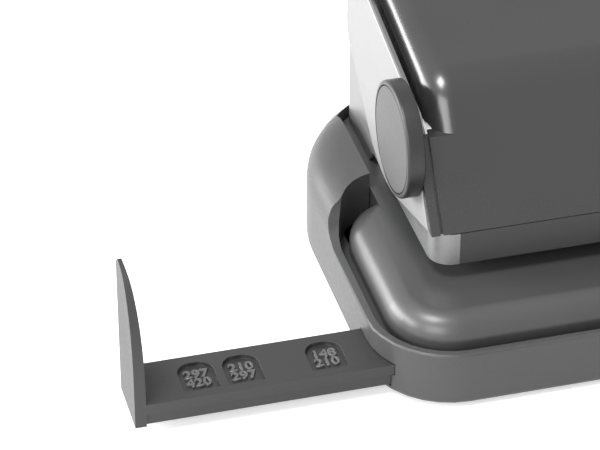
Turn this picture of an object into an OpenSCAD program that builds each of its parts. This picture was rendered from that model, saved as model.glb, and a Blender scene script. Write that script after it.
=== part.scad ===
// Four-hole punch: a desk punch with four pins in a row and a sliding paper guide.
// X runs along the row of pins, -Y is the side where the paper goes in, Z is up.
// The origin is the middle of the footprint on the table.

/* [Base] */
// Distance from a cheek's outer face to the pan's side
pan_margin = 18.5; // [16:0.5:24]
// Depth of the base pan from front to back
base_d = 120; // [116:1:140]
// Plan radius of the pan's front corners
corner_r = 22; // [14:1:28]
// Plan radius of the pan's back corners, under the hood
back_corner_r = 45; // [36:1:48]
// Height of the pan's rim above the table
rim_z = 16.7; // [15.5:0.1:19]
// Height of the hood at the back of the pan
hood_z = 28.2; // [24:0.1:31]
// Width of the hood's top, from the pan's side to its inner edge
hood_w = 14; // [10:0.5:15]
// Where the hood starts, measured from the middle of the pan
hood_start = -8; // [-14:1:4]
// Thickness of the pan's walls and floor
pan_wall = 2.2; // [1.6:0.1:3]
// Radius of the pan's lower edge
pan_foot_r = 1.6; // [1:0.2:4]
// Height of the feet
foot_h = 1; // [0.6:0.1:2]
// Diameter of a foot
foot_d = 12; // [8:0.5:16]

/* [Deck] */
// Height of the deck that the paper lies on
deck_z = 23.2; // [22:0.1:26]
// Distance from the pan's side to the deck's side
deck_inset = 5; // [4.5:0.1:7]
// Radius of the deck's soft upper edge
deck_edge_r = 7; // [3:0.5:8]
// Thickness of the deck's sheet
deck_t = 1.6; // [1:0.1:2]

/* [Punching] */
// Distance between neighbouring pins
pin_pitch = 80; // [70:0.5:100]
// Diameter of a punch pin
pin_d = 6; // [4.5:0.1:6.5]
// Travel of a pin when the lever is pressed home
pin_stroke = 7.2; // [6:0.1:7.6]
// Height of the slot that the paper goes into
slot_h = 4.6; // [4.2:0.1:6]
// Distance from the hole's middle to the back stop
hole_margin = 12; // [10:0.5:13]
// Outer diameter of a pin's head
head_d = 13.5; // [12:0.5:15]
// Thickness of a pin's head
head_t = 2; // [1.5:0.1:3]
// Height of a pin bush above the guide plate
bush_rise = 4; // [2:0.1:4.5]
// Wall of a pin bush
bush_wall = 1.5; // [1:0.1:2]
// Thickness of the die plate
die_t = 1.6; // [1:0.1:2]
// Wire diameter of a return spring
spring_wire = 1.1; // [0.8:0.1:1.3]
// Mean diameter of a return spring
spring_d = 12; // [11:0.1:12.4]
// Number of turns of a return spring
spring_turns = 7; // [4:1:8]
// Length of a return spring at rest
spring_h = 18.5; // [16:0.5:22]

/* [Frame] */
// Distance from an outer pin to the outer face of the cheek beside it
cheek_margin = 16.5; // [14.5:0.5:22]
// Thickness of the cheeks
cheek_t = 2; // [1.5:0.1:3]
// Thickness of the bright cover on a cheek's outer face
cover_t = 1; // [0.6:0.1:1.5]
// Thickness of the guide plate and of the front web
guide_t = 2.4; // [1.8:0.1:3]
// Depth of the frame in front of the pivot
frame_front = 21; // [19:0.5:22]
// Height of the front web above the guide plate's underside
web_h = 9.4; // [8:0.1:10]
// Height of the pivot above the pin heads' resting level
pivot_over_head = 4.3; // [4.3:0.1:5]
// Pivot's place behind the middle of the pan, negative in front of it
pivot_y = -15; // [-18:0.5:-12]
// Diameter of the pivot shaft
shaft_d = 8; // [6:0.5:10]
// Diameter of the round caps over the pivot
cap_d = 31; // [24:0.5:33]
// Thickness of a pivot cap
cap_t = 5; // [4:0.5:6]

/* [Lever] */
// Angle that the lever turns through when pressed home
lever_turn = 18; // [16:0.5:20]
// Diameter of the bar that presses the pins
bar_d = 8; // [6:0.5:8]
// Thickness of the lever's sheet
lever_t = 2; // [1.4:0.1:2.4]
// Radius of the lever's rolled side edge
lever_roll = 8; // [4:0.5:9]
// Height of the bend from the lever's nose to its top, above the pivot
lever_rise = 15; // [13:0.5:18]
// Lean of the lever's nose, measured from the table
lever_lean = 55; // [50:1:60]
// Rise of the lever's top towards the back
lever_slope = 12; // [8:1:16]
// Reach of the lever behind the pivot
lever_reach = 80; // [70:1:90]
// Depth of the lever's sides at its back end
lever_end_h = 13; // [10:0.5:16]
// Radius of the bend from the lever's nose to its top
lever_bend = 14; // [8:0.5:20]
// Thickness of the palm grip
grip_t = 2.4; // [1.6:0.1:3]

/* [Paper guide] */
// Width of the guide's bar
guide_w = 17.4; // [14:0.1:19]
// Height of the bar's upper, wider half
guide_top_h = 3; // [2:0.1:4]
// Height of the bar's lower, narrower half
guide_low_h = 3.8; // [2:0.1:5]
// Height of the guide's underside above the pan's underside
guide_floor = 2.2; // [1.8:0.1:3]
// Step from the bar's upper half back to its lower half
guide_step = 1; // [0.8:0.1:3]
// Distance from the pan's side to the stop as drawn
guide_out = 61; // [50:1:70]
// Length of the bar that is left inside the pan
guide_in = 84; // [70:1:100]
// Height of the stop above the table
stop_h = 45.2; // [39:0.1:53]
// Thickness of the stop
stop_t = 3; // [2.4:0.1:4]
// Thickness of the upright stop at its tip
stop_tip_t = 1; // [0.8:0.1:2]
// Distance from the front of the pan to the guide's bar
guide_from_front = 9.5; // [8.5:0.5:11]

/* [Clearances] */
// Gap between pieces that slide or turn past each other
run_gap = 0.3; // [0.2:0.05:0.5]
// Radial gap of a shaft or pin in its hole
fit_gap = 0.06; // [0.03:0.01:0.1]

/* [Hidden] */
$fn = 64;

// Lengths along the row of pins
frame_l = 3 * pin_pitch + 2 * cheek_margin;
base_l = frame_l + 2 * pan_margin;

// Levels of the pieces above the table
ledge_z = foot_h + 12.2;
guide_z = deck_z + slot_h;
head_z = guide_z + guide_t + spring_h;
pivot_z = head_z + head_t + pivot_over_head;
press_arm = pin_stroke / sin(lever_turn);
pin_y = pivot_y + press_arm;
stop_y = pin_y + hole_margin;
pin_tip = guide_z + 0.6;
bore_d = pin_d + 2 * fit_gap;
bush_d = bore_d + 2 * bush_wall;
pin_x = [for (i = [0:3]) (i - 1.5) * pin_pitch];

// Plan limits of the deck's pillow and of its tail between the cheeks
deck_x = base_l / 2 - deck_inset;
deck_y0 = -base_d / 2 + deck_inset;
deck_behind = 23;
deck_y1 = pivot_y + deck_behind;
tail_x = base_l / 2 - hood_w - 1;
tail_y1 = base_d / 2 - pan_wall - 5;
deck_front_r = corner_r - deck_inset;
deck_back_r = 14;

// Frame: cheek faces and the die plate's limits
cheek_x = frame_l / 2;
cheek_in = cheek_x - cheek_t;
cap_x = cheek_x + cover_t;
front_y = pivot_y - frame_front;
die_x = cheek_in - 1;
die_y = [pin_y - 12, stop_y - 1];
foot_y = [stop_y + 3.5, base_d / 2 - 16];

// Lever: half length and the corners of its side outline, measured from the pivot
lever_x = cheek_in - run_gap - 0.5;
lever_front = frame_front;
lever_foot_z = guide_z + web_h + run_gap - pivot_z;
lever_back = [press_arm + 4, -9];
lean_dir = [cos(lever_lean), sin(lever_lean)];
lever_toe = [-lever_front, lever_foot_z];
lever_peak = lever_toe + lean_dir * (lever_rise - lever_toe.y) / lean_dir.y;
lever_tail = [lever_reach, lever_peak.y + (lever_reach - lever_peak.x) * tan(lever_slope)];
lever_hem = lever_tail - [0, lever_end_h];
grip_y = [lever_reach - 40, lever_reach - 8];
apron_t = lever_t * 0.8;
apron_x = cap_x - run_gap;
apron_top = 3.2;
slit_x = apron_x - 2.8;
slit_w = 0.8;

// Paper guide: its place along Y and in height
guide_low_z = foot_h + guide_floor;
guide_mid_z = guide_low_z + guide_low_h;
guide_top_z = guide_mid_z + guide_top_h;
guide_y0 = -base_d / 2 + guide_from_front;
guide_y1 = guide_y0 + guide_w;
stop_x = -base_l / 2 - guide_out;
guide_end_x = -base_l / 2 + guide_in;
channel_end_x = guide_end_x + guide_out + 4;
window_x = [10.5, 22.3, 44.3];
feet_y = [guide_y1 + 10, base_d / 2 - 14];
foot_inset = [corner_r - 2, back_corner_r - 11];
detent_d = 6;
foot_recess = 0.8;
screw_d = 4;

// Profile of a round puck with soft lower and upper edges
function soft_profile(r, z0, z1, low, high) = concat(
  [[0, z0]],
  [for (i = [0:5]) [r - low + low * sin(i * 18), z0 + low - low * cos(i * 18)]],
  [for (i = [0:5]) [r - high + high * cos(i * 18), z1 - high + high * sin(i * 18)]],
  [[0, z1]]
);

module puck(r, z0, z1, low, high) {
  rotate_extrude($fn = r > 30 ? 64 : 32) polygon(soft_profile(r, z0, z1, low, high));
}

// Slab with rounded corners in plan and soft lower and upper edges
module soft_slab(x, y0, y1, front_r, back_r, z0, z1, low, high) {
  hull() {
    for (s = [-1, 1]) {
      translate([s * (x - front_r), y0 + front_r, 0]) puck(front_r, z0, z1, low, high);
      translate([s * (x - back_r), y1 - back_r, 0]) puck(back_r, z0, z1, low, high);
    }
  }
}

// Corner of an outline turned into an arc of radius r
function round_corner(a, b, c, r) = let (
    u = (a - b) / norm(a - b),
    v = (c - b) / norm(c - b),
    half = acos(u * v) / 2,
    mid = b + (u + v) / norm(u + v) * r / sin(half),
    p = b + u * r / tan(half) - mid,
    side = sign(u.x * v.y - u.y * v.x),
    sweep = 180 - 2 * half,
    steps = max(2, ceil(sweep / 10))
  ) [for (i = [0:steps]) let (t = -side * sweep * i / steps)
    mid + [p.x * cos(t) - p.y * sin(t), p.x * sin(t) + p.y * cos(t)]];

// Outline with every corner rounded by its own radius
function round_outline(pts, radii) = let (n = len(pts))
  [for (i = [0:n - 1]) each radii[i] > 0
    ? round_corner(pts[(i + n - 1) % n], pts[i], pts[(i + 1) % n], radii[i]) : [pts[i]]];

// Plain block between two corners
module block(a, b) {
  translate(a) cube(b - a);
}

// Extrudes an outline in Y and Z along X, centred on x
module along_x(x, length) {
  translate([x - length / 2, 0, 0]) rotate([90, 0, 90]) linear_extrude(length) children();
}

module x_rod(x0, x1, y, z, d) {
  translate([x0, y, z]) rotate([0, 90, 0]) cylinder(h = x1 - x0, d = d);
}

// Base

module pan_solid(z1, high) {
  soft_slab(base_l / 2, -base_d / 2, base_d / 2, corner_r, back_corner_r, foot_h, z1, pan_foot_r, high);
}

// Room for the deck's tail, whose back corners follow the pan's
module tail_space(gap, z0, z1) {
  inset = pan_wall + 2 - gap;
  intersection() {
    block([-tail_x - gap, deck_y1 - deck_back_r - 4, z0], [tail_x + gap, tail_y1 + gap, z1]);
    soft_slab(base_l / 2 - inset, -base_d / 2, base_d / 2 - inset, corner_r, back_corner_r - inset,
      z0 - 1, z1 + 1, 0.01, 0.01);
  }
}

module hood_region() {
  run = hood_z - rim_z;
  along_x(0, base_l + 2) difference() {
    polygon([[hood_start, 0], [base_d, 0], [base_d, hood_z + 2], [hood_start, hood_z + 2]]);
    translate([hood_start - 1, rim_z + run]) circle(r = run);
  }
}

module deck_clearance(gap) {
  soft_slab(deck_x + gap, deck_y0 - gap, deck_y1 + gap, deck_front_r + gap, deck_back_r + gap,
    ledge_z, hood_z + 5, 0.01, 0.01);
}

module guide_channel(gap) {
  x0 = -base_l / 2 - 1;
  block([x0, guide_y0 - gap, guide_mid_z - gap], [channel_end_x, guide_y1 + gap, guide_top_z + gap]);
  block([x0, guide_y0 + guide_step - gap, guide_low_z - gap],
    [channel_end_x, guide_y1 - guide_step + gap, guide_mid_z]);
}

module base_pan() {
  inner = pan_wall;
  color([0.24, 0.24, 0.25]) difference() {
    union() {
      difference() {
        union() {
          pan_solid(rim_z, 0.8);
          intersection() {
            pan_solid(hood_z, 9);
            hood_region();
          }
        }
        soft_slab(base_l / 2 - inner - 4, -base_d / 2 + inner + 4, base_d / 2 - inner - 4,
          corner_r - inner - 4, back_corner_r - inner - 4, foot_h + inner, ledge_z + 1, 2, 0.01);
        deck_clearance(deck_inset - inner);
        tail_space(run_gap, ledge_z, hood_z + 5);
      }
      intersection() {
        pan_solid(rim_z, 0.8);
        block([-base_l / 2, guide_y0 - 3, foot_h], [channel_end_x + 2, guide_y1 + 3, guide_top_z + 1.9]);
      }
    }
    guide_channel(run_gap);
    foot_places() cylinder(h = foot_h + foot_recess, d = foot_d);
    detent_place() cylinder(h = 6, d = detent_d + 2 * fit_gap);
  }
}

// One foot near each corner and one under the middle
module foot_places() {
  for (s = [-1, 1], i = [0, 1]) translate([s * (base_l / 2 - foot_inset[i]), feet_y[i], 0]) children();
  children();
}

module feet() {
  color([0.1, 0.1, 0.1]) foot_places() cylinder(h = foot_h + foot_recess, d = foot_d - 2 * fit_gap);
}

// Sprung button in the channel's roof that holds the guide where it is put
module detent_place() {
  translate([guide_end_x - 12, (guide_y0 + guide_y1) / 2, guide_top_z]) children();
}

module guide_detent() {
  color("silver") detent_place() translate([0, 0, fit_gap]) cylinder(h = 3, d = detent_d);
}

// Deck, with a tail between the cheeks that carries the frame

module deck_skin(t) {
  soft_slab(deck_x - t, deck_y0 + t, deck_y1 - t, deck_front_r - t, deck_back_r - t,
    ledge_z - (t > 0 ? 1 : 0), deck_z - t, 0.01, deck_edge_r - t);
  tail_space(-t, ledge_z - (t > 0 ? 1 : 0), deck_z - t);
}

module deck() {
  lip = 3;
  color([0.33, 0.33, 0.34]) difference() {
    union() {
      difference() {
        deck_skin(0);
        deck_skin(deck_t);
      }
      block([-die_x - lip, die_y[0] - lip, deck_z - die_t - deck_t],
        [die_x + lip, die_y[1] + lip, deck_z]);
    }
    block([-die_x - fit_gap, die_y[0] - fit_gap, deck_z - die_t],
      [die_x + fit_gap, die_y[1] + fit_gap, deck_z + 1]);
    for (x = pin_x) translate([x, pin_y, 0]) cylinder(h = deck_z, d = pin_d + 2);
    screw_places() translate([0, 0, -6]) cylinder(h = 8, d = screw_d + 2 * fit_gap);
  }
}

module die_plate() {
  color("silver") difference() {
    block([-die_x, die_y[0], deck_z - die_t], [die_x, die_y[1], deck_z]);
    for (x = pin_x) translate([x, pin_y, 0]) cylinder(h = deck_z + 1, d = bore_d);
  }
}

module back_stop() {
  color("silver") difference() {
    block([-die_x + 12, stop_y, deck_z], [die_x - 12, stop_y + 2, deck_z + slot_h + guide_t]);
    for (x = pin_x) block([x - 4, stop_y - 1, guide_z], [x + 4, stop_y + 3, guide_z + guide_t + 1]);
  }
}

// Frame: two cheeks, a guide plate for the pins and a low front web

cheek_front = -frame_front + 0.1;
cheek_low = guide_z - pivot_z;
cheek_drop = 4;
cover_rise = 4;
web_r = 6;
cheek_back = foot_y[1] - pivot_y;

// The cheek's front runs behind the lever's nose, and its top a little below the lever's top
cheek_behind = 2.75;
cheek_toe = [lever_toe.x + cheek_behind, cheek_low + web_h];
cover_nose = lever_peak + [cheek_behind - cheek_drop * lean_dir.x / lean_dir.y, -cheek_drop];
cover_top = [cheek_back, cover_nose.y + (cheek_back - cover_nose.x) * tan(lever_slope)];
cheek_nose = cover_nose - cover_rise * [lean_dir.x / lean_dir.y, 1];
cheek_top = cover_top - [0, cover_rise];

module cheek_outline() {
  difference() {
    polygon(round_outline([
        [cheek_front + web_r, cheek_low], [cheek_front + web_r, cheek_toe.y], cheek_toe, cheek_nose, cheek_top,
        [cheek_back, deck_z - pivot_z], [foot_y[0] - pivot_y, deck_z - pivot_z],
        [foot_y[0] - pivot_y - 4, cheek_low]
      ], [0, 0, 0, 3, 16, 0, 0, 2]));
    circle(d = shaft_d + 2 * fit_gap);
  }
}

// The cover's lower edge sweeps up towards the back
module cover_outline() {
  low = [press_arm + 1, deck_z + 2.5 - pivot_z];
  difference() {
    polygon(round_outline([
        cheek_toe + [0.4, 0.3], cover_nose + [0.2, 0], cover_top, [cheek_back, -2], low
      ], [0, 6, 16, 9, 30]));
    circle(d = shaft_d + 2 * fit_gap);
  }
}

module cheek_covers() {
  color([0.9, 0.9, 0.9]) for (s = [-1, 1]) {
    translate([0, pivot_y, pivot_z]) along_x(s * (cheek_x + cover_t / 2), cover_t) cover_outline();
  }
}

module frame() {
  color([0.82, 0.82, 0.83]) difference() {
    union() {
      for (s = [-1, 1]) {
        translate([0, pivot_y, pivot_z]) along_x(s * (cheek_x - cheek_t / 2), cheek_t) cheek_outline();
        block([s > 0 ? cheek_in - 12 : -cheek_in, foot_y[0], deck_z],
          [s > 0 ? cheek_in : -cheek_in + 12, foot_y[1], deck_z + 2]);
      }
      block([-cheek_in, front_y + 6, guide_z], [cheek_in, stop_y - 1.5, guide_z + guide_t]);
      web_bend();
    }
    for (x = pin_x) translate([x, pin_y, guide_z - 1]) cylinder(h = guide_t + 2, d = bush_d + 2 * fit_gap);
    screw_places() translate([0, 0, -1]) cylinder(h = 8, d = screw_d + 2 * fit_gap);
  }
}

// The front web turns into the cheeks round a bend
module web_bend() {
  r = web_r;
  inner_y = front_y + guide_t;
  difference() {
    union() {
      block([-cheek_x + r, front_y, guide_z], [cheek_x - r, front_y + r, guide_z + web_h]);
      for (s = [-1, 1]) {
        translate([s * (cheek_x - r), front_y + r, guide_z]) cylinder(h = web_h, r = r);
      }
    }
    block([-cheek_x + r, inner_y, guide_z + guide_t], [cheek_x - r, front_y + 2 * r + 1, guide_z + web_h + 1]);
    for (s = [-1, 1]) {
      translate([s * (cheek_x - r), front_y + r, guide_z + guide_t]) cylinder(h = web_h, r = r - guide_t);
      block([s > 0 ? cheek_x - r - 1 : -cheek_in, front_y + r, guide_z + guide_t],
        [s > 0 ? cheek_in : -cheek_x + r + 1, front_y + 2 * r + 1, guide_z + web_h + 1]);
    }
  }
}

module guide_bushes() {
  color("silver") for (x = pin_x) translate([x, pin_y, guide_z]) difference() {
    cylinder(h = guide_t + bush_rise, d = bush_d);
    translate([0, 0, -1]) cylinder(h = guide_t + bush_rise + 2, d = bore_d);
  }
}

module screw_places() {
  for (s = [-1, 1], y = foot_y)
    translate([s * (cheek_in - 7), y + (y == foot_y[0] ? screw_d : -screw_d), deck_z]) children();
}

module frame_screws() {
  color("silver") screw_places() {
    translate([0, 0, -3]) cylinder(h = 5, d = screw_d);
    translate([0, 0, 2]) cylinder(h = 1.6, d = 5.6);
  }
}

// Pivot

module pivot_shaft() {
  color("silver") x_rod(-cap_x - cap_t / 2, cap_x + cap_t / 2, pivot_y, pivot_z, shaft_d);
}

module pivot_cap(s) {
  color([0.5, 0.5, 0.5]) translate([s * cap_x, pivot_y, pivot_z]) rotate([0, s * 90, 0]) difference() {
    union() {
      cylinder(h = cap_t - 2, d = cap_d);
      translate([0, 0, cap_t - 2]) rotate_extrude() intersection() {
        translate([cap_d / 2 - 2, 0]) circle(r = 2);
        square([cap_d, 3]);
      }
      translate([0, 0, cap_t - 2]) cylinder(h = 2, d = cap_d - 4);
    }
    translate([0, 0, -1]) cylinder(h = cap_t / 2 + 1, d = shaft_d + 2 * fit_gap);
  }
}

module pivot_cap_left() {
  pivot_cap(-1);
}

module pivot_cap_right() {
  pivot_cap(1);
}

module shaft_washers() {
  gap = cheek_in - lever_x;
  color("silver") for (s = [-1, 1]) {
    x = s * (cheek_in - gap / 2);
    difference() {
      x_rod(x - gap / 2 + 0.1, x + gap / 2 - 0.1, pivot_y, pivot_z, shaft_d + 2.4);
      x_rod(x - gap, x + gap, pivot_y, pivot_z, shaft_d + 2 * fit_gap);
    }
  }
}

// Lever: an open pressing with rolled side edges

module lever_outline() {
  polygon(round_outline([lever_toe, lever_back, lever_hem, lever_tail, lever_peak], [0, 6, 4, 5, lever_bend]));
}

module lever_solid(t, roll) {
  steps = 6;
  hull() for (i = [0:steps]) {
    a = i * 90 / steps;
    along_x(0, 2 * (lever_x - t - roll * (1 - sin(a))))
      offset(delta = -t - roll * (1 - cos(a))) lever_outline();
  }
}

// The hollow is open below, from the toe to the back end
module lever_hollow() {
  open = 60;
  lever_solid(lever_t, lever_roll - lever_t);
  along_x(0, 2 * (lever_x - lever_t)) polygon([
    lever_toe + [lever_t * 1.3, -1], lever_toe + [lever_t * 1.3 + 5 * lean_dir.x, 5 * lean_dir.y],
    [lever_peak.x + 6, 0], [lever_hem.x - lever_t, lever_hem.y + 2], [lever_hem.x - lever_t, -open],
    [lever_toe.x + lever_t, -open]
  ]);
}

module lever() {
  color([0.27, 0.27, 0.28]) translate([0, pivot_y, pivot_z]) difference() {
    union() {
      difference() {
        lever_solid(0, lever_roll);
        for (s = [-1, 1]) {
          along_x(s * (lever_x - lever_roll / 2 + 0.5), lever_roll + 1) nose_band(-5, lever_roll + 3, apron_top);
        }
      }
      for (s = [-1, 1]) {
        along_x(s * (apron_x + lever_x - lever_roll - 2) / 2, apron_x - lever_x + lever_roll + 2)
          nose_band(0, apron_t / lean_dir.y, apron_top);
        along_x(s * (lever_x - lever_roll / 2 - 0.5), lever_roll + 1) intersection() {
          nose_band(0, lever_roll + 4, apron_top);
          translate([-lever_front, apron_top - apron_t]) square([2 * lever_front, apron_t]);
        }
        along_x(s * (lever_x - lever_t / 2), lever_t) difference() {
          nose_band(0, lever_roll + 4, apron_top);
          translate(lever_toe + [lever_t / lean_dir.y, -1]) square([lever_roll + 6, 2.5]);
        }
      }
    }
    lever_hollow();
    for (s = [-1, 1]) along_x(s * slit_x, slit_w) nose_band(-2, apron_t * 0.6 / lean_dir.y, apron_top + 1);
    x_rod(-lever_x - 1, lever_x + 1, 0, 0, shaft_d + 2 * fit_gap);
    x_rod(-lever_x - 1, lever_x + 1, press_arm, 0, bar_d + 2 * fit_gap);
  }
}

// Strip along the lever's nose, from its toe up to a height above the pivot
module nose_band(y0, y1, top) {
  run = (top - lever_toe.y) * lean_dir.x / lean_dir.y;
  polygon([
    lever_toe + [y0, 0], lever_toe + [y1, 0], [lever_toe.x + run + y1, top], [lever_toe.x + run + y0, top]
  ]);
}

module press_bar() {
  color("silver") x_rod(-lever_x, lever_x, pin_y, pivot_z, bar_d);
}

// Soft pad along the lever's top
module palm_grip() {
  color([0.15, 0.15, 0.15]) translate([0, pivot_y, pivot_z]) along_x(0, 2 * (lever_x - 2 * lever_roll))
    offset(r = grip_t * 0.35) offset(delta = -grip_t * 0.35) intersection() {
      difference() {
        offset(r = grip_t) lever_outline();
        lever_outline();
      }
      translate([grip_y[0], lever_rise]) square([grip_y[1] - grip_y[0], lever_tail.y]);
    }
}

// Punch pins and their springs

module punch_pin(x) {
  color("silver") translate([x, pin_y, 0]) {
    translate([0, 0, pin_tip]) cylinder(h = head_z - pin_tip + 0.5, d = pin_d);
    translate([0, 0, head_z]) cylinder(h = head_t, d = head_d);
  }
}

module punch_pin_1() {
  punch_pin(pin_x[0]);
}

module punch_pin_2() {
  punch_pin(pin_x[1]);
}

module punch_pin_3() {
  punch_pin(pin_x[2]);
}

module punch_pin_4() {
  punch_pin(pin_x[3]);
}

ring_turn = 8;
ring_sides = 6;
spring_z0 = guide_z + guide_t + spring_wire / 2 + 0.05;
spring_z1 = head_z - spring_wire / 2 - 0.05;
spring_n = spring_turns * ring_turn;

function spring_point(i) = [
  spring_d / 2 * cos(i * 360 / ring_turn), spring_d / 2 * sin(i * 360 / ring_turn),
  spring_z0 + (spring_z1 - spring_z0) * i / spring_n
];

function spring_ring(i) = [for (k = [0:ring_sides - 1]) let (
    a = i * 360 / ring_turn, b = k * 360 / ring_sides, w = spring_wire / 2
  ) spring_point(i) + w * [cos(b) * cos(a), cos(b) * sin(a), sin(b)]];

function side_faces(n, m) = [for (i = [0:n - 1], k = [0:m - 1], h = [0, 1]) let (
    a = i * m + k, b = i * m + (k + 1) % m
  ) h == 0 ? [a, b, b + m] : [a, b + m, a + m]];

function cap_faces(first, m, flip) = [for (k = [1:m - 2])
  flip ? [first, first + k + 1, first + k] : [first, first + k, first + k + 1]];

module return_spring(x) {
  points = [for (i = [0:spring_n]) each spring_ring(i)];
  faces = concat(side_faces(spring_n, ring_sides), cap_faces(0, ring_sides, true),
    cap_faces(spring_n * ring_sides, ring_sides, false));
  color("silver") translate([x, pin_y, 0]) polyhedron(points, faces);
}

module return_spring_1() {
  return_spring(pin_x[0]);
}

module return_spring_2() {
  return_spring(pin_x[1]);
}

module return_spring_3() {
  return_spring(pin_x[2]);
}

module return_spring_4() {
  return_spring(pin_x[3]);
}

echo("least gap between a spring's turns", min([for (i = [0:spring_n], j = [0:spring_n])
  if (j - i >= ring_turn * 0.75) norm(spring_point(i) - spring_point(j)) - spring_wire]));

// Paper guide: a stepped bar with three windows and an upright stop

module stop_outline() {
  fin = [guide_w - 4, 28];
  polygon(concat(
    [[guide_y0, guide_low_z], [guide_y1, guide_low_z], [guide_y1, stop_h - 2], [guide_y1 - 2, stop_h]],
    [for (a = [90:10:180]) [guide_y0 + fin.x * (1 + cos(a)), stop_h - fin.y * (1 - sin(a))]]
  ));
}

module window(x) {
  w = 9.5;
  d = guide_w - 6;
  y = guide_y0 + 3;
  translate([x, 0, guide_top_z - 1.2]) linear_extrude(2) union() {
    translate([0, y]) square([w, d - 4]);
    translate([4, y]) square([w - 8, d]);
    for (cx = [4, w - 4]) translate([cx, y + d - 4]) circle(r = 4);
  }
}

// The stop thins towards its tip on the paper's side
module stop_blade() {
  outer_x = stop_x - stop_t;
  intersection() {
    along_x(stop_x - stop_t / 2, stop_t) stop_outline();
    translate([0, guide_y1 + 1, 0]) rotate([90, 0, 0]) linear_extrude(guide_w + 2) polygon(concat(
      [[outer_x - 1, 0], [stop_x + 1, 0], [stop_x + 1, guide_top_z]],
      [for (a = [0:10:90])
        [outer_x + stop_tip_t + (stop_t - stop_tip_t) * cos(a), guide_top_z + (stop_h - guide_top_z) * sin(a)]],
      [[outer_x + stop_tip_t, stop_h + 1], [outer_x - 1, stop_h + 1]]
    ));
  }
}

module paper_guide() {
  color([0.3, 0.3, 0.31]) difference() {
    union() {
      block([stop_x, guide_y0, guide_mid_z], [guide_end_x, guide_y1, guide_top_z]);
      block([stop_x, guide_y0 + guide_step, guide_low_z], [guide_end_x, guide_y1 - guide_step, guide_mid_z]);
      stop_blade();
    }
    for (x = window_x) window(stop_x + x);
  }
}

base_pan();
feet();
deck();
die_plate();
frame();
guide_bushes();
back_stop();
frame_screws();
cheek_covers();
pivot_shaft();
pivot_cap_left();
pivot_cap_right();
guide_detent();
lever();
press_bar();
palm_grip();
shaft_washers();
punch_pin_1();
punch_pin_2();
punch_pin_3();
punch_pin_4();
return_spring_1();
return_spring_2();
return_spring_3();
return_spring_4();
paper_guide();
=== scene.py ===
"""Four-hole desk punch: finished pieces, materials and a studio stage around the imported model."""

import math

import bmesh
import bpy
from mathutils import Matrix, Quaternion, Vector


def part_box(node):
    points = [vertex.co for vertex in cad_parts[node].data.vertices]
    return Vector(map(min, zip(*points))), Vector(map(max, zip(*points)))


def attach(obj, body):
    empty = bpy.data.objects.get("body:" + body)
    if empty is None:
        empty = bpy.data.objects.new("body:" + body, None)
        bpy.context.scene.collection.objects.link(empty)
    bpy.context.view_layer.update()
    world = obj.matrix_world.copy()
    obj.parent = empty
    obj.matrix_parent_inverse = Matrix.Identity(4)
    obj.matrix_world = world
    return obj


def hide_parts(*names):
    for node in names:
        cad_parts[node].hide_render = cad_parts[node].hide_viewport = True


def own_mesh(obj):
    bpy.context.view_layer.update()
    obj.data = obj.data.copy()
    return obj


bl_info = {
    "name": "Four-hole punch",
    "version": (1, 0, 0),
    "blender": (4, 5, 0),
    "location": "3D View > Sidebar > Punch",
    "description": "Builds the finished pieces of a four-hole desk punch around its packed model",
    "category": "Object",
}

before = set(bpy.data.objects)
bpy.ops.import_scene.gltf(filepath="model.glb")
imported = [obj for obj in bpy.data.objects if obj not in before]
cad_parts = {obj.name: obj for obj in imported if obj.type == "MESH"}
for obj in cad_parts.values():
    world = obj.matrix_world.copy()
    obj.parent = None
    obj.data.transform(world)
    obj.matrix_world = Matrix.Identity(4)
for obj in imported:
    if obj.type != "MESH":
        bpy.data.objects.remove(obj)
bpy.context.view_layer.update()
MM = 0.001
WHITE = (1.0, 1.0, 1.0, 1.0)
PIN_NUMBERS = (1, 2, 3, 4)

# Skins: edges under the short lengths are closed up, so that they don't hold back the rounding, faces within
# the flat angle are joined, and edges over the rounded angle get soft

SHORT_EDGE = 0.1 * MM
PAN_SHORT_EDGE = 0.4 * MM
GUIDE_SHORT_EDGE = 0.25 * MM
FLAT_ANGLE = math.radians(0.6)
ROUNDED_ANGLE = math.radians(38)
ROUNDING_STEPS = 2
ROUNDING_WELD = 0.003 * MM
FACE_WEIGHT = 80

# Front web: the paint ends this far inside the frame's ends and behind its front

PAINT_END = 7 * MM
PAINT_DEPTH = 1 * MM

# Frame screws: the share is the shank's radius against the head's diameter

HEAD_HEIGHT = 1.6 * MM
HEAD_SIDES = 32
SHANK_SIDES = 24
SHANK_SHARE = 0.357
SLOT_LENGTH = 3.4 * MM
SLOT_WIDTH = 0.7 * MM
SLOT_HEIGHT = 1.4 * MM
SLOT_WELD = 0.01 * MM

# Pivot caps: a rim with a round outer edge and a recess, and a domed face that sits in it with a small gap

CAP_ROUND = 0.8 * MM
CAP_CHAMFER = 0.3 * MM
CAP_RIM = 1.3 * MM
CAP_RECESS = 0.5 * MM
CAP_TAPER = 0.15 * MM
CAP_GAP = 0.05 * MM
FACE_SHOULDER = 0.2 * MM
FACE_RISE = 0.3 * MM
ROUND_STEPS = 6
DOME_STEPS = 10

# Ribs on the palm grip, which slopes with the lever's tail

GRIP_SLOPE = math.radians(12)
RIB_INSET = 4 * MM
RIB_RADIUS = 0.9 * MM
RIB_SINK = 0.5 * MM
RIB_SIDES = 16

# Return springs, which shorten by the pins' whole travel

COIL_STEPS = 36
WIRE_SIDES = 10

# Numbers in the paper guide's windows: how far from the stop each window starts, with its two paper sizes in
# millimetres. The window's middle is measured from the guide's front

WINDOWS = ((10.5 * MM, "297\n420"), (22.3 * MM, "210\n297"), (44.3 * MM, "148\n210"))
STOP_THICKNESS = 3 * MM
HALF_WINDOW = 4.75 * MM
WINDOW_MIDDLE = 8.4 * MM
LINE_SPACE = 0.82
STROKE_SPREAD = 0.06 * MM
NUMBER_EDGE = 0.1 * MM
NUMBER_WELD = 0.001 * MM
CURVE_STEPS = 5

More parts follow.
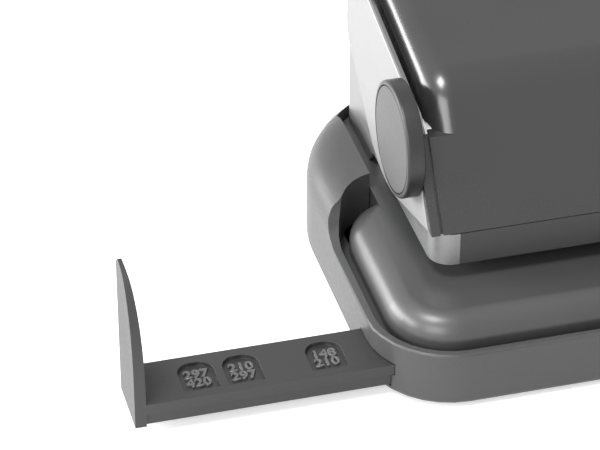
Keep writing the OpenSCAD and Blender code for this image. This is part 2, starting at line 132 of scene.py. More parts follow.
# Stage: each lamp's place, aim, sides, power in watts and turn about its own axis in degrees

LAMPS = {
    "top": ((-0.5, -0.17, 1.0), (-0.14, -0.03, 0.02), (0.34, 0.34), 9.0, 0),
    "left": ((-0.93, 0.25, 0.27), (-0.14, -0.02, 0.06), (1.1, 0.32), 15.0, 14),
    "front": ((-0.7, -0.72, 0.5), (-0.12, -0.03, 0.04), (0.5, 0.5), 5.5, 0),
}
CAMERA_AZIMUTH = math.radians(15.0)
CAMERA_ELEVATION = math.radians(34.56)
CAMERA_AIM = (-0.1697, -0.027, 0.0412)
CAMERA_DISTANCE = 0.765
CAMERA_LENS = 180
SENSOR_WIDTH = 36
FLOOR_HALF = 3.0
FLOOR_GREY = (0.8, 0.8, 0.8, 1.0)
FLOOR_GLOW = 0.45
ROOM_LIGHT = 0.35


# Shader maths


class Wire:
    """A value in a node tree, which Python's operators turn into Math nodes."""

    def __init__(self, nodes, socket):
        self.nodes = nodes
        self.socket = socket

    def math(self, operation, first, second=0.0):
        return self.nodes.add("ShaderNodeMath", {"operation": operation}, {0: first, 1: second})

    def __add__(self, other):
        return self.math("ADD", self, other)

    def __radd__(self, other):
        return self.math("ADD", other, self)

    def __sub__(self, other):
        return self.math("SUBTRACT", self, other)

    def __rsub__(self, other):
        return self.math("SUBTRACT", other, self)

    def __mul__(self, other):
        return self.math("MULTIPLY", self, other)

    def __rmul__(self, other):
        return self.math("MULTIPLY", other, self)

    def __lt__(self, other):
        return self.math("LESS_THAN", self, other)

    def __abs__(self):
        return self.math("ABSOLUTE", self)


class Nodes:
    """A shader tree, built node by node."""

    def __init__(self, tree):
        self.tree = tree
        self.tree.nodes.clear()

    def add(self, kind, settings=None, sockets=None, output=0):
        """One node: its settings first, then values or links for its sockets."""
        made = self.tree.nodes.new(kind)
        for key, value in (settings or {}).items():
            if key == "stops":
                for element, (position, level) in zip(made.color_ramp.elements, value):
                    element.position = position
                    element.color = (level, level, level, 1)
            else:
                setattr(made, key, value)
        for key, value in (sockets or {}).items():
            if isinstance(value, Wire):
                self.tree.links.new(value.socket, made.inputs[key])
            else:
                made.inputs[key].default_value = value
        return Wire(self, made.outputs[output])

    def rays(self, *kinds):
        """1 for rays of the given kinds and 0 for others."""
        seen = self.add("ShaderNodeLightPath", output=kinds[0])
        for kind in kinds[1:]:
            seen = seen.math("MAXIMUM", seen, self.add("ShaderNodeLightPath", output=kind))
        return seen

    def show(self, kind, shader):
        """Lead a shader to the tree's output."""
        out = self.tree.nodes.new(kind)
        self.tree.links.new(shader.socket, out.inputs["Surface"])


# Finishes


FINISHES = {}


def tone(colour, factor):
    """A colour made lighter or darker, with its alpha."""
    return tuple(min(1.0, channel * factor) for channel in colour[:3]) + (1.0,)


class Finish(Nodes):
    """One material on Object coordinates, kept in FINISHES under its name."""

    def __init__(self, name):
        self.material = bpy.data.materials.new(name)
        self.material.use_nodes = True
        super().__init__(self.material.node_tree)
        self.place = self.add("ShaderNodeTexCoord", output="Object")
        FINISHES[name] = self.material

    def noise(self, scale, detail, stretch=(1, 1, 1)):
        place = self.add("ShaderNodeMapping", {}, {"Vector": self.place, "Scale": stretch})
        return self.add("ShaderNodeTexNoise", {}, {"Vector": place, "Scale": scale, "Detail": detail})

    def ramp(self, value, start, end):
        """0 up to start, 1 from end on, and a straight line between."""
        return self.add("ShaderNodeValToRGB", {"stops": ((start, 0.0), (end, 1.0))}, {0: value})

    def blend(self, amount, first, second):
        sockets = {0: amount, 6: first, 7: second}
        return self.add("ShaderNodeMix", {"data_type": "RGBA"}, sockets, output=2)

    def vary(self, amount, colour, dark, light):
        """A colour that goes from a darker tone to a lighter one."""
        return self.blend(amount, tone(colour, dark), tone(colour, light))

    def close(self, sockets, height, depth, strength):
        """The shader, with the height as a bump."""
        bump = {"Strength": strength, "Distance": depth, "Height": height}
        sockets["Normal"] = self.add("ShaderNodeBump", {}, bump)
        self.show("ShaderNodeOutputMaterial", self.add("ShaderNodeBsdfPrincipled", {}, sockets))


def moulded_plastic(name, colour, grain_size, roughness):
    """Satin plastic with the fine spark texture of its mould."""
    finish = Finish(name)
    spark = finish.noise(scale=1 / grain_size, detail=2)
    fine = finish.noise(scale=2.7 / grain_size, detail=1)
    grain = finish.ramp(spark * 0.65 + fine * 0.35, 0.36, 0.62)
    mottle = finish.ramp(finish.noise(scale=22, detail=3), 0.3, 0.7)
    finish.close(
        {
            "Base Color": finish.vary(mottle * 0.6 + grain * 0.4, colour, 0.88, 1.12),
            "Roughness": roughness - 0.04 + grain * 0.08 + mottle * 0.05,
            "Specular IOR Level": 0.5,
        },
        height=grain,
        depth=0.04 * MM,
        strength=0.22,
    )


def satin_paint(name, colour, roughness, coat):
    """Baked paint on pressed sheet, with a faint orange peel and specks of dust."""
    finish = Finish(name)
    peel = finish.noise(scale=420, detail=2)
    dust = finish.ramp(finish.noise(scale=2600, detail=1), 0.62, 0.78)
    mottle = finish.ramp(finish.noise(scale=16, detail=3), 0.32, 0.68)
    base = finish.vary(mottle, colour, 0.93, 1.07)
    finish.close(
        {
            "Base Color": finish.blend(dust * 0.15, base, tone(colour, 1.9)),
            "Roughness": roughness + mottle * 0.06 + dust * 0.03,
            "Coat Weight": coat + mottle * 0.06,
            "Coat Roughness": roughness * 0.7,
        },
        height=peel,
        depth=0.03 * MM,
        strength=0.25,
    )


def drawn_steel(name, colour, roughness, stretch, streak, paint=None, half_length=0.0, rear=0.0):
    """Bare steel whose fine lines run one way.

    Where a paint is given, it covers what lies in front of rear, out to half_length on both sides.
    """
    finish = Finish(name)
    lines = finish.ramp(finish.noise(scale=900, detail=3, stretch=stretch), 0.3, 0.7)
    cloud = finish.noise(scale=30, detail=2)
    base = finish.vary(lines * 0.7 + cloud * 0.3, colour, 1 - streak, 1 + streak)
    metal = 1.0
    if paint:
        along = finish.add("ShaderNodeSeparateXYZ", {}, {0: finish.place}, output="X")
        across = finish.add("ShaderNodeSeparateXYZ", {}, {0: finish.place}, output="Y")
        painted = (abs(along) < half_length) * (across < rear)
        base = finish.blend(painted, base, paint)
        metal = 1.0 - painted
    finish.close(
        {
            "Base Color": base,
            "Metallic": metal,
            "Roughness": roughness - 0.05 + lines * 0.1 + cloud * 0.06,
        },
        height=lines,
        depth=0.02 * MM,
        strength=0.12,
    )


def soft_rubber(name, colour):
    """Matt rubber with a slight bloom."""
    finish = Finish(name)
    grain = finish.noise(scale=1800, detail=2)
    bloom = finish.ramp(finish.noise(scale=45, detail=4), 0.35, 0.75)
    finish.close(
        {
            "Base Color": finish.vary(bloom * 0.7 + grain * 0.3, colour, 0.85, 1.3),
            "Roughness": 0.68 + bloom * 0.14,
            "Specular IOR Level": 0.4,
        },
        height=grain,
        depth=0.05 * MM,
        strength=0.3,
    )


# Meshes


def middle(node):
    """Middle of a node's box at rest."""
    low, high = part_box(node)
    return (Vector(low) + Vector(high)) / 2


def new_piece(name, mesh, finish, body, slot, *nodes):
    """An object at the origin that rides on a body and stands for CAD nodes."""
    piece = bpy.data.objects.new(name, mesh)
    bpy.context.scene.collection.objects.link(piece)
    mesh.materials.clear()
    mesh.materials.append(FINISHES[finish])
    for face in mesh.polygons:
        face.material_index = 0
    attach(piece, body)
    if nodes:
        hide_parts(*nodes)
    return piece


def merged_mesh(node, name, weld):
    """The node's mesh in one skin, with its flat faces joined and edges shorter than weld closed up."""
    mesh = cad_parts[node].data.copy()
    mesh.name = name
    work = bmesh.new()
    work.from_mesh(mesh)
    bmesh.ops.remove_doubles(work, verts=work.verts, dist=weld)
    bmesh.ops.dissolve_degenerate(work, dist=weld, edges=work.edges)
    bmesh.ops.dissolve_limit(
        work,
        angle_limit=FLAT_ANGLE,
        use_dissolve_boundaries=False,
        verts=work.verts,
        edges=work.edges,
    )
    work.to_mesh(mesh)
    work.free()
    return mesh


def shade(mesh, angle):
    """Smooth shading with sharp edges above an angle in degrees."""
    mesh.shade_smooth()
    mesh.set_sharp_from_angle(angle=math.radians(angle))


def soften(piece, width):
    """Small rounded edges, as pressed and moulded pieces have."""
    bevel = piece.modifiers.new("soft_edges", "BEVEL")
    bevel.width = width
    bevel.segments = ROUNDING_STEPS
    bevel.limit_method = "ANGLE"
    bevel.angle_limit = ROUNDED_ANGLE
    bevel.use_clamp_overlap = True
    bevel.miter_outer = "MITER_ARC"
    weld = piece.modifiers.new("joined_points", "WELD")
    weld.merge_threshold = ROUNDING_WELD
    even = piece.modifiers.new("even_faces", "WEIGHTED_NORMAL")
    even.mode = "FACE_AREA"
    even.weight = FACE_WEIGHT
    even.keep_sharp = True


def dressed(node, name, body, slot, width, angle=34, weld=SHORT_EDGE):
    """A node's own shape with its finish and, where a width is given, soft edges."""
    mesh = merged_mesh(node, name, weld)
    piece = new_piece(name, mesh, slot, body, slot, node)
    shade(mesh, angle)
    if width:
        soften(piece, width)


def turned_mesh(name, profile, place, axis, sides=96):
    """A turned piece: profile points give a distance along the axis and a radius."""
    work = bmesh.new()
    right = axis.orthogonal().normalized()
    up = axis.cross(right).normalized()
    rings = []
    for along, radius in profile:
        ring = []
        for step in range(sides if radius else 1):
            turn = 2 * math.pi * step / sides
            spoke = right * math.cos(turn) + up * math.sin(turn)
            ring.append(work.verts.new(place + axis * along + spoke * radius))
        rings.append(ring)
    for first, second in zip(rings, rings[1:]):
        for step in range(sides):
            after = (step + 1) % sides
            corners = [first[step % len(first)], first[after % len(first)]]
            corners += [second[after % len(second)], second[step % len(second)]]
            work.faces.new(list(dict.fromkeys(corners)))
    bmesh.ops.recalc_face_normals(work, faces=work.faces)
    mesh = bpy.data.meshes.new(name)
    work.to_mesh(mesh)
    work.free()
    return mesh


# Geometry Nodes


class Pattern:
    """A Geometry Nodes tree with named inputs, run once and turned into a mesh."""

    def __init__(self, name):
        self.tree = bpy.data.node_groups.new(name, "GeometryNodeTree")
        self.tree.interface.new_socket(
            name="Geometry", in_out="OUTPUT", socket_type="NodeSocketGeometry"
        )
        self.inlet = self.tree.nodes.new("NodeGroupInput")
        self.outlet = self.tree.nodes.new("NodeGroupOutput")
        self.values = {}

    def size(self, name, kind, value):
        """A named input of the tree, with the value that it is run with."""
        made = self.tree.interface.new_socket(
            name=name, in_out="INPUT", socket_type="NodeSocket" + kind
        )
        self.values[made.identifier] = value
        return self.inlet.outputs[name]

    def node(self, kind, sockets, settings=None):
        """One node's first output. A list of links goes into one socket."""
        made = self.tree.nodes.new(kind)
        for key, value in (settings or {}).items():
            setattr(made, key, value)
        for key, value in sockets.items():
            links = value if isinstance(value, list) else [value]
            for link in links:
                if isinstance(link, bpy.types.NodeSocket):
                    self.tree.links.new(link, made.inputs[key])
                else:
                    made.inputs[key].default_value = link
        return made.outputs[0]

    def moved(self, geometry, place=(0, 0, 0), turn=(0, 0, 0)):
        sockets = {"Geometry": geometry, "Translation": place, "Rotation": turn}
        return self.node("GeometryNodeTransform", sockets)

    def rod(self, sides, radius, length):
        sockets = {"Vertices": sides, "Radius": radius, "Depth": length}
        return self.node("GeometryNodeMeshCylinder", sockets)

    def run(self, geometry, finish):
        """The tree's mesh, in a finish."""
        whole = self.node("GeometryNodeRealizeInstances", {"Geometry": geometry})
        sockets = {"Geometry": whole, "Material": FINISHES[finish]}
        painted = self.node("GeometryNodeSetMaterial", sockets)
        self.tree.links.new(painted, self.outlet.inputs[0])
        carrier = bpy.data.objects.new("carrier", bpy.data.meshes.new("carrier"))
        bpy.context.scene.collection.objects.link(carrier)
        modifier = carrier.modifiers.new("pattern", "NODES")
        modifier.node_group = self.tree
        for identifier, value in self.values.items():
            modifier[identifier] = value
        bpy.context.view_layer.update()
        seen = carrier.evaluated_get(bpy.context.evaluated_depsgraph_get())
        mesh = bpy.data.meshes.new_from_object(seen)
        carrier.modifiers.remove(modifier)
        bpy.data.objects.remove(carrier)
        return mesh


# Sizes and colours


def colour_property(name, description, default):
    return bpy.props.FloatVectorProperty(
        name=name,
        description=description,
        subtype="COLOR",
        size=4,
        min=0,
        max=1,
        default=default + (1.0,),
    )


def length_property(name, description, default):
    return bpy.props.FloatProperty(
        name=name,
        description=description,
        subtype="DISTANCE",
        unit="LENGTH",
        min=0,
        default=default,
    )


class PunchColours(bpy.types.PropertyGroup):
    """Colours of the punch's finishes."""

    pan: colour_property("Pan", "Moulded pan under the punch", (0.054, 0.054, 0.0555))
    deck: colour_property("Deck", "Painted deck that the paper lies on", (0.048, 0.048, 0.049))
    lever: colour_property("Lever", "Painted lever", (0.024, 0.024, 0.0248))
    cap: colour_property("Pivot cap", "Round caps over the pivot", (0.05, 0.05, 0.05))
    guide: colour_property("Paper guide", "Sliding bar with its stop", (0.026, 0.026, 0.0267))
    cover: colour_property("Cheek cover", "Bright sheet on the cheeks' outer faces", (0.31, 0.31, 0.31))
    steel: colour_property("Frame steel", "Dull sheet of the frame", (0.29, 0.29, 0.293))
    zinc: colour_property("Plain steel", "Plated small pieces", (0.6, 0.6, 0.61))
    tool: colour_property("Tool steel", "Ground pins", (0.5, 0.5, 0.51))
    wire: colour_property("Spring wire", "Drawn wire of the return springs", (0.46, 0.46, 0.47))
    rubber: colour_property("Rubber", "Feet and palm grip", (0.028, 0.028, 0.029))


class PunchSizes(bpy.types.PropertyGroup):
    """Sizes of the details that the finished pieces add."""

    pan_edge: length_property("Pan edge", "Rounding of the pan's edges", 0.5 * MM)
    sheet_edge: length_property("Sheet edge", "Rounding of the pressed sheets' edges", 0.35 * MM)
    guide_edge: length_property("Guide edge", "Rounding of the guide's edges", 0.35 * MM)
    cover_edge: length_property("Cover edge", "Rounding of the cheek covers' edges", 0.25 * MM)
    plate_edge: length_property("Plate edge", "Rounding of the punching plate's edges", 0.15 * MM)
    small_edge: length_property("Small edge", "Rounding of the small steel pieces' edges", 0.2 * MM)
    bar_edge: length_property("Bar edge", "Rounding of the pressing bar's edges", 0.3 * MM)
    foot_edge: length_property("Foot edge", "Rounding of the feet's edges", 0.3 * MM)
    pad_edge: length_property("Pad edge", "Rounding of the palm pad's edges", 0.4 * MM)
    wire_d: length_property("Spring wire", "Diameter of the return springs' wire", 1.1 * MM)
    mark_height: length_property("Number height", "Height of the numbers in the windows", 4.4 * MM)
    mark_rise: length_property("Number rise", "How far the numbers stand up", 0.7 * MM)
    window_floor: length_property("Window floor", "Height of the windows' floor in the bar", 5.5 * MM)
    screw_head: length_property("Screw head", "Diameter of the frame screws' heads", 5.6 * MM)
    rib_pitch: length_property("Rib pitch", "Distance between the palm grip's ribs", 3.6 * MM)
    turns: bpy.props.IntProperty(
        name="Turns", description="Turns of a return spring", default=7, min=3, max=12
    )


# Operators


class PunchOperator:
    """What the punch's operators have in common."""

    bl_options = {"REGISTER", "UNDO"}

    def sizes(self):
        return bpy.context.scene.punch_sizes

    def colours(self):
        return bpy.context.scene.punch_colours


class PUNCH_OT_finishes(PunchOperator, bpy.types.Operator):
    """Mix the finishes, which are named for the record's slots where one fits"""

    bl_idname = "punch.finishes"
    bl_label = "Finishes"

    def execute(self, context):
        tint = self.colours()
        moulded_plastic("pan_plastic", tint.pan, 0.9 * MM, 0.4)
        moulded_plastic("guide_plastic", tint.guide, 0.7 * MM, 0.42)
        moulded_plastic("cap_plastic", tint.cap, 0.6 * MM, 0.44)
        # The rim's finish is the cap's colour at 0.3 of its tone: painted shade for the cap's side, which
        # faces away from the lamps and mirrors the dark lever.
        moulded_plastic("cap_rim_painted_shade", tone(tint.cap, 0.3), 0.6 * MM, 0.36)
        # The numbers' finish is the guide's colour made 3.6 times lighter: a painted highlight for glints on
        # the raised numbers. Their lower roughness is real gloss.
        moulded_plastic("numbers_painted_glint", tone(tint.guide, 3.6), 0.5 * MM, 0.24)
        satin_paint("deck_paint", tint.deck, 0.36, 0.25)
        satin_paint("lever_paint", tint.lever, 0.24, 0.4)
        low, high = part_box("frame")
        drawn_steel(
            "frame_steel",
            tint.steel,
            0.42,
            (1, 0.04, 1),
            0.06,
            paint=tone(tint.lever, 1.6),
            half_length=high[0] - PAINT_END,
            rear=low[1] + PAINT_DEPTH,
        )
        drawn_steel("cover_steel", tint.cover, 0.6, (1, 0.04, 1), 0.03)
        drawn_steel("plain_steel", tint.zinc, 0.34, (0.1, 1, 1), 0.08)
        drawn_steel("tool_steel", tint.tool, 0.22, (1, 1, 0.05), 0.08)
        drawn_steel("spring_steel", tint.wire, 0.3, (1, 1, 1), 0.1)
        soft_rubber("foot_rubber", tint.rubber)
        soft_rubber("grip_rubber", tint.rubber)
        return {"FINISHED"}


class PUNCH_OT_base(PunchOperator, bpy.types.Operator):
    """Pan, deck and feet, with the plate, stop and button on the deck"""

    bl_idname = "punch.base"
    bl_label = "Base"

    def execute(self, context):
        size = self.sizes()
        dressed("base_pan", "pan", "base", "pan_plastic", size.pan_edge, weld=PAN_SHORT_EDGE)
        dressed("deck", "paper_deck", "base", "deck_paint", size.sheet_edge)
        dressed("feet", "rubber_feet", "base", "foot_rubber", size.foot_edge)
        dressed("die_plate", "punching_plate", "base", "plain_steel", size.plate_edge)
        dressed("back_stop", "paper_back_stop", "base", "plain_steel", size.small_edge)
        dressed("guide_detent", "guide_button", "base", "plain_steel", size.small_edge)
        return {"FINISHED"}


class PUNCH_OT_frame(PunchOperator, bpy.types.Operator):
    """Steel frame with its bushes, pivot and cheek covers"""

    bl_idname = "punch.frame"
    bl_label = "Frame"

    def execute(self, context):
        size = self.sizes()
        dressed("frame", "steel_frame", "base", "frame_steel", size.sheet_edge)
        dressed("guide_bushes", "pin_bushes", "base", "plain_steel", size.small_edge)
        dressed("pivot_shaft", "shaft", "base", "plain_steel", size.small_edge)
        dressed("shaft_washers", "washers", "base", "plain_steel", 0)
        dressed("cheek_covers", "side_covers", "base", "cover_steel", size.cover_edge)
        return {"FINISHED"}


class PUNCH_OT_screws(PunchOperator, bpy.types.Operator):
    """Cross-slotted screws that hold the frame's feet"""

    bl_idname = "punch.screws"
    bl_label = "Frame screws"

    def execute(self, context):
        size = self.sizes()
        low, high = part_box("frame_screws")
        tall = high[2] - low[2]
        screw = Pattern("frame_screw_set")
        across = screw.size("Head diameter", "Float", size.screw_head)
        head_h = screw.size("Head height", "Float", HEAD_HEIGHT)
        shank_h = screw.size("Shank length", "Float", tall - HEAD_HEIGHT)
        row_x = screw.size("Row length", "Float", high[0] - low[0] - size.screw_head)
        row_y = screw.size("Row depth", "Float", high[1] - low[1] - size.screw_head)
        times = {"operation": "MULTIPLY"}
        half = screw.node("ShaderNodeMath", {0: across, 1: 0.5}, times)
        thin = screw.node("ShaderNodeMath", {0: across, 1: SHANK_SHARE}, times)
        head = screw.rod(HEAD_SIDES, half, head_h)
        for length, depth in ((SLOT_LENGTH, SLOT_WIDTH), (SLOT_WIDTH, SLOT_LENGTH)):
            bar = screw.node("GeometryNodeMeshCube", {"Size": (length, depth, SLOT_HEIGHT)})
            raised = screw.moved(bar, (0, 0, HEAD_HEIGHT / 2))
            way = {"operation": "DIFFERENCE", "solver": "EXACT"}
            head = screw.node("GeometryNodeMeshBoolean", {0: head, 1: raised}, way)
        slotted = {"Geometry": head, "Distance": SLOT_WELD}
        welded = screw.node("GeometryNodeMergeByDistance", slotted)
        lowered = screw.moved(screw.rod(SHANK_SIDES, thin, shank_h), (0, 0, -tall / 2))
        whole = screw.node("GeometryNodeJoinGeometry", {0: [lowered, welded]})
        corners = {"Size X": row_x, "Size Y": row_y, "Vertices X": 2, "Vertices Y": 2}
        centre = middle("frame_screws")
        places = screw.moved(
            screw.node("GeometryNodeMeshGrid", corners),
            (centre.x, centre.y, high[2] - HEAD_HEIGHT / 2),
        )
        placed = screw.node("GeometryNodeInstanceOnPoints", {"Points": places, "Instance": whole})
        mesh = screw.run(placed, "plain_steel")
        new_piece("screw_set", mesh, "plain_steel", "base", "plain_steel", "frame_screws")
        shade(mesh, 35)
        return {"FINISHED"}


class PUNCH_OT_caps(PunchOperator, bpy.types.Operator):
    """Round caps over the pivot, each a rim with a domed face in it"""

    bl_idname = "punch.caps"
    bl_label = "Pivot caps"

    def execute(self, context):
        for node, side in (("pivot_cap_left", -1), ("pivot_cap_right", 1)):
            low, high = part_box(node)
            radius = (high[2] - low[2]) / 2
            lip = high[0] - low[0] - FACE_RISE
            inner = middle(node)
            inner.x = high[0] if side < 0 else low[0]
            axis = Vector((side, 0, 0))
            rim = turned_mesh(node + "_rim", self.rim(radius, lip), inner, axis)
            # The rim takes the darker finish, painted shade on the cap's side.
            new_piece(node + "_rim", rim, "cap_rim_painted_shade", "base", "cap_plastic", node)
            shade(rim, 40)
            face = turned_mesh(node + "_face", self.face(radius, lip), inner, axis)
            new_piece(node + "_face", face, "cap_plastic", "base", "cap_plastic")
            shade(face, 40)
        return {"FINISHED"}

    def rim(self, radius, lip):
        """Profile of the rim, from the middle of its back to the middle of its recess."""
        seat = radius - CAP_RIM
        profile = [(0.0, 0.0), (0.0, radius - CAP_CHAMFER), (CAP_CHAMFER, radius)]
        for step in range(ROUND_STEPS + 1):
            turn = math.pi / 2 * step / ROUND_STEPS
            along = lip - CAP_ROUND + CAP_ROUND * math.sin(turn)
            profile.append((along, radius - CAP_ROUND + CAP_ROUND * math.cos(turn)))
        profile += [(lip, seat + CAP_TAPER), (lip - CAP_RECESS, seat), (lip - CAP_RECESS, 0.0)]
        return profile

    def face(self, radius, lip):
        """Profile of the domed face, from the middle of its back to its top."""
        seat = radius - CAP_RIM
        profile = [(lip - CAP_RECESS, 0.0), (lip - CAP_RECESS, seat - CAP_GAP)]
        profile.append((lip - FACE_SHOULDER, seat - 2 * CAP_GAP))
        for step in range(DOME_STEPS + 1):
            share = step / DOME_STEPS
            along = lip + FACE_RISE * math.sin(share * math.pi / 2)
            profile.append((along, (seat - CAP_CHAMFER) * (1 - share)))
        return profile


class PUNCH_OT_lever(PunchOperator, bpy.types.Operator):
    """Lever with its press bar and ribbed palm grip"""

    bl_idname = "punch.lever"
    bl_label = "Lever"

    def execute(self, context):
        size = self.sizes()
        dressed("lever", "lever_cover", "lever", "lever_paint", size.sheet_edge, angle=40)
        dressed("press_bar", "pressing_bar", "lever", "plain_steel", size.bar_edge)
        dressed("palm_grip", "palm_pad", "lever", "grip_rubber", size.pad_edge)
        self.ribs(size.rib_pitch)
        return {"FINISHED"}

    def ribs(self, rib_pitch):
        low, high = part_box("palm_grip")
        run = (high[1] - low[1] - 2 * RIB_INSET) / math.cos(GRIP_SLOPE)
        count = int(run / rib_pitch) + 1
        spare = (run - (count - 1) * rib_pitch) / 2
        front = low[1] + RIB_INSET + spare * math.cos(GRIP_SLOPE)
        top = high[2] - (high[1] - front) * math.tan(GRIP_SLOPE)
        rib = Pattern("palm_ribs")
        number = rib.size("Ribs", "Int", count)
        pitch = rib.size("Pitch", "Float", rib_pitch)
        length = rib.size("Length", "Float", high[0] - low[0] - 2 * RIB_INSET)
        step = rib.node("ShaderNodeCombineXYZ", {"Y": pitch})
        rows = rib.node("GeometryNodeMeshLine", {"Count": number, "Offset": step})
        tilted = rib.moved(rows, (0, front, top - RIB_SINK), (GRIP_SLOPE, 0, 0))
        laid = rib.moved(rib.rod(RIB_SIDES, RIB_RADIUS, length), turn=(0, math.pi / 2, 0))
        placed = rib.node("GeometryNodeInstanceOnPoints", {"Points": tilted, "Instance": laid})
        mesh = rib.run(placed, "grip_rubber")
        new_piece("palm_ribs", mesh, "grip_rubber", "lever", "grip_rubber")
        shade(mesh, 40)


class PUNCH_OT_pins(PunchOperator, bpy.types.Operator):
    """Punch pins and their coiled return springs"""

    bl_idname = "punch.pins"
    bl_label = "Pins and springs"

    def execute(self, context):
        size = self.sizes()
        for number in PIN_NUMBERS:
            body = "pin_%d" % number
            dressed("punch_" + body, body + "_ground", body, "tool_steel", size.small_edge)
        for number in PIN_NUMBERS:
            self.spring(number, size.wire_d, size.turns)
        return {"FINISHED"}

    def spring(self, number, wire, turns):
        node = "return_spring_%d" % number
        low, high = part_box(node)
        tall = high[2] - low[2]
        foot = middle(node)
        foot.z = low[2] + wire / 2
        coil = Pattern("return_spring_coil_%d" % number)
        rotations = coil.size("Turns", "Float", float(turns))
        reach = coil.size("Radius", "Float", (high[0] - low[0] - wire) / 2)
        height = coil.size("Height", "Float", tall - wire)
        gauge = coil.size("Wire radius", "Float", wire / 2)
        line = coil.node(
            "GeometryNodeCurveSpiral",
            {
                "Resolution": COIL_STEPS,
                "Rotations": rotations,
                "Start Radius": reach,
                "End Radius": reach,
                "Height": height,
            },
        )
        section = {"Resolution": WIRE_SIDES, "Radius": gauge}
        ring = coil.node("GeometryNodeCurvePrimitiveCircle", section)
        swept = {"Curve": line, "Profile Curve": ring, "Fill Caps": True}
        tube = coil.node("GeometryNodeCurveToMesh", swept)
        mesh = coil.run(coil.moved(tube, foot), "spring_steel")
        name = "spring_%d_coil" % number
        piece = new_piece(name, mesh, "spring_steel", "base", "spring_steel", node)
        shade(mesh, 60)
        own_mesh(piece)


class PUNCH_OT_guide(PunchOperator, bpy.types.Operator):
    """Paper guide with plain numbers in its windows"""

    bl_idname = "punch.guide"
    bl_label = "Paper guide"

    def execute(self, context):
        size = self.sizes()
        dressed(
            "paper_guide", "guide_bar", "guide", "guide_plastic", size.guide_edge, weld=GUIDE_SHORT_EDGE
        )
        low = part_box("paper_guide")[0]
        work = bmesh.new()
        for start, words in WINDOWS:
            along = low[0] + STOP_THICKNESS + start + HALF_WINDOW
            place = Vector((along, low[1] + WINDOW_MIDDLE, low[2] + size.window_floor))
            mesh = self.numbers(words, place, size.mark_height, size.mark_rise)
            work.from_mesh(mesh)
            bpy.data.meshes.remove(mesh)
        bmesh.ops.remove_doubles(work, verts=work.verts, dist=NUMBER_WELD)
        bmesh.ops.recalc_face_normals(work, faces=work.faces)
        joined = bpy.data.meshes.new("paper_sizes")
        work.to_mesh(joined)
        work.free()
        # The numbers take the lighter finish, a painted highlight for their glints.
        new_piece("paper_sizes", joined, "numbers_painted_glint", "guide", "guide_plastic")
        return {"FINISHED"}

    def numbers(self, words, place, height, rise):
        """A mesh of two lines of numbers that stand on a window's floor."""
        text = bpy.data.curves.new("numbers", "FONT")
        text.body = words
        text.align_x = "CENTER"
        text.align_y = "CENTER"
        text.size = height
        text.space_line = LINE_SPACE
        text.offset = STROKE_SPREAD
        text.extrude = rise / 2
        text.bevel_depth = NUMBER_EDGE
        text.bevel_resolution = 0
        text.resolution_u = CURVE_STEPS
        carrier = bpy.data.objects.new("numbers", text)
        bpy.context.scene.collection.objects.link(carrier)
        bpy.context.view_layer.update()
        seen = carrier.evaluated_get(bpy.context.evaluated_depsgraph_get())
        mesh = bpy.data.meshes.new_from_object(seen)
        bpy.data.objects.remove(carrier)
        mesh.transform(Matrix.Translation(place + Vector((0, 0, rise / 2))))
        return mesh


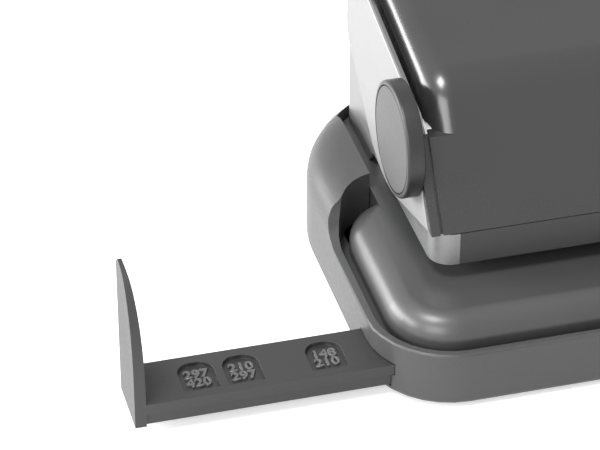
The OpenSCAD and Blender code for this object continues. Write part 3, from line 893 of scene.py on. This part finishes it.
class PUNCH_OT_stage(PunchOperator, bpy.types.Operator):
    """Camera, lights, floor and white surroundings"""

    bl_idname = "punch.stage"
    bl_label = "Stage"

    def execute(self, context):
        self.camera()
        for name, values in LAMPS.items():
            self.lamp(name, *values)
        self.floor()
        self.surroundings()
        bpy.context.scene.view_settings.view_transform = "Standard"
        return {"FINISHED"}

    def camera(self):
        level = math.cos(CAMERA_ELEVATION)
        ahead = Vector((
            math.sin(CAMERA_AZIMUTH) * level,
            math.cos(CAMERA_AZIMUTH) * level,
            -math.sin(CAMERA_ELEVATION),
        ))
        lens = bpy.data.cameras.new("photo_view")
        lens.sensor_fit = "HORIZONTAL"
        lens.sensor_width = SENSOR_WIDTH
        lens.lens = CAMERA_LENS
        lens.clip_start = 0.01
        camera = bpy.data.objects.new("photo_view", lens)
        bpy.context.scene.collection.objects.link(camera)
        camera.location = Vector(CAMERA_AIM) - ahead * CAMERA_DISTANCE
        camera.rotation_euler = ahead.to_track_quat("-Z", "Y").to_euler()
        bpy.context.scene.camera = camera

    def lamp(self, name, place, aim, sides, power, turn):
        light = bpy.data.lights.new(name, "AREA")
        light.shape = "RECTANGLE"
        light.size, light.size_y = sides
        light.energy = power
        lamp = bpy.data.objects.new(name, light)
        bpy.context.scene.collection.objects.link(lamp)
        lamp.location = place
        facing = (Vector(aim) - Vector(place)).to_track_quat("-Z", "Y")
        turned = facing @ Quaternion((0, 0, 1), math.radians(turn))
        lamp.rotation_euler = turned.to_euler()

    def floor(self):
        far = FLOOR_HALF
        mesh = bpy.data.meshes.new("floor")
        corners = [(-far, -far, 0), (far, -far, 0), (far, far, 0), (-far, far, 0)]
        mesh.from_pydata(corners, [], [(0, 1, 2, 3)])
        floor = bpy.data.objects.new("floor", mesh)
        bpy.context.scene.collection.objects.link(floor)
        finish = Finish("pale_floor")
        paper = finish.add("ShaderNodeBsdfDiffuse", {}, {"Color": FLOOR_GREY})
        glow = finish.add("ShaderNodeEmission", {}, {"Color": WHITE, "Strength": FLOOR_GLOW})
        lit = finish.add("ShaderNodeAddShader", {}, {0: paper, 1: glow})
        seen = finish.rays("Is Camera Ray", "Is Glossy Ray")
        mixed = finish.add("ShaderNodeMixShader", {}, {0: seen, 1: paper, 2: lit})
        finish.show("ShaderNodeOutputMaterial", mixed)
        mesh.materials.append(finish.material)

    def surroundings(self):
        world = bpy.data.worlds.new("white_room")
        world.use_nodes = True
        room = Nodes(world.node_tree)
        soft = room.add("ShaderNodeBackground", {}, {"Color": WHITE, "Strength": ROOM_LIGHT})
        white = room.add("ShaderNodeBackground", {}, {"Color": WHITE, "Strength": 1.0})
        seen = room.rays("Is Camera Ray", "Is Transmission Ray", "Is Glossy Ray")
        mixed = room.add("ShaderNodeMixShader", {}, {0: seen, 1: soft, 2: white})
        room.show("ShaderNodeOutputWorld", mixed)
        bpy.context.scene.world = world


class PUNCH_PT_panel(bpy.types.Panel):
    """Lists the punch's pieces"""

    bl_label = "Four-hole punch"
    bl_idname = "PUNCH_PT_panel"
    bl_space_type = "VIEW_3D"
    bl_region_type = "UI"
    bl_category = "Punch"

    def draw(self, context):
        for operator in OPERATORS:
            self.layout.operator(operator.bl_idname)


OPERATORS = [
    PUNCH_OT_finishes,
    PUNCH_OT_base,
    PUNCH_OT_frame,
    PUNCH_OT_screws,
    PUNCH_OT_caps,
    PUNCH_OT_lever,
    PUNCH_OT_pins,
    PUNCH_OT_guide,
    PUNCH_OT_stage,
]
CLASSES = [PunchColours, PunchSizes] + OPERATORS + [PUNCH_PT_panel]


def register():
    for item in CLASSES:
        bpy.utils.register_class(item)
    bpy.types.Scene.punch_colours = bpy.props.PointerProperty(type=PunchColours)
    bpy.types.Scene.punch_sizes = bpy.props.PointerProperty(type=PunchSizes)


def unregister():
    del bpy.types.Scene.punch_sizes
    del bpy.types.Scene.punch_colours
    for item in reversed(CLASSES):
        bpy.utils.unregister_class(item)


def main():
    register()
    bpy.ops.punch.finishes()
    bpy.ops.punch.base()
    bpy.ops.punch.frame()
    bpy.ops.punch.screws()
    bpy.ops.punch.caps()
    bpy.ops.punch.lever()
    bpy.ops.punch.pins()
    bpy.ops.punch.guide()
    bpy.ops.punch.stage()
    bpy.context.view_layer.update()


if __name__ == "__main__":
    main()
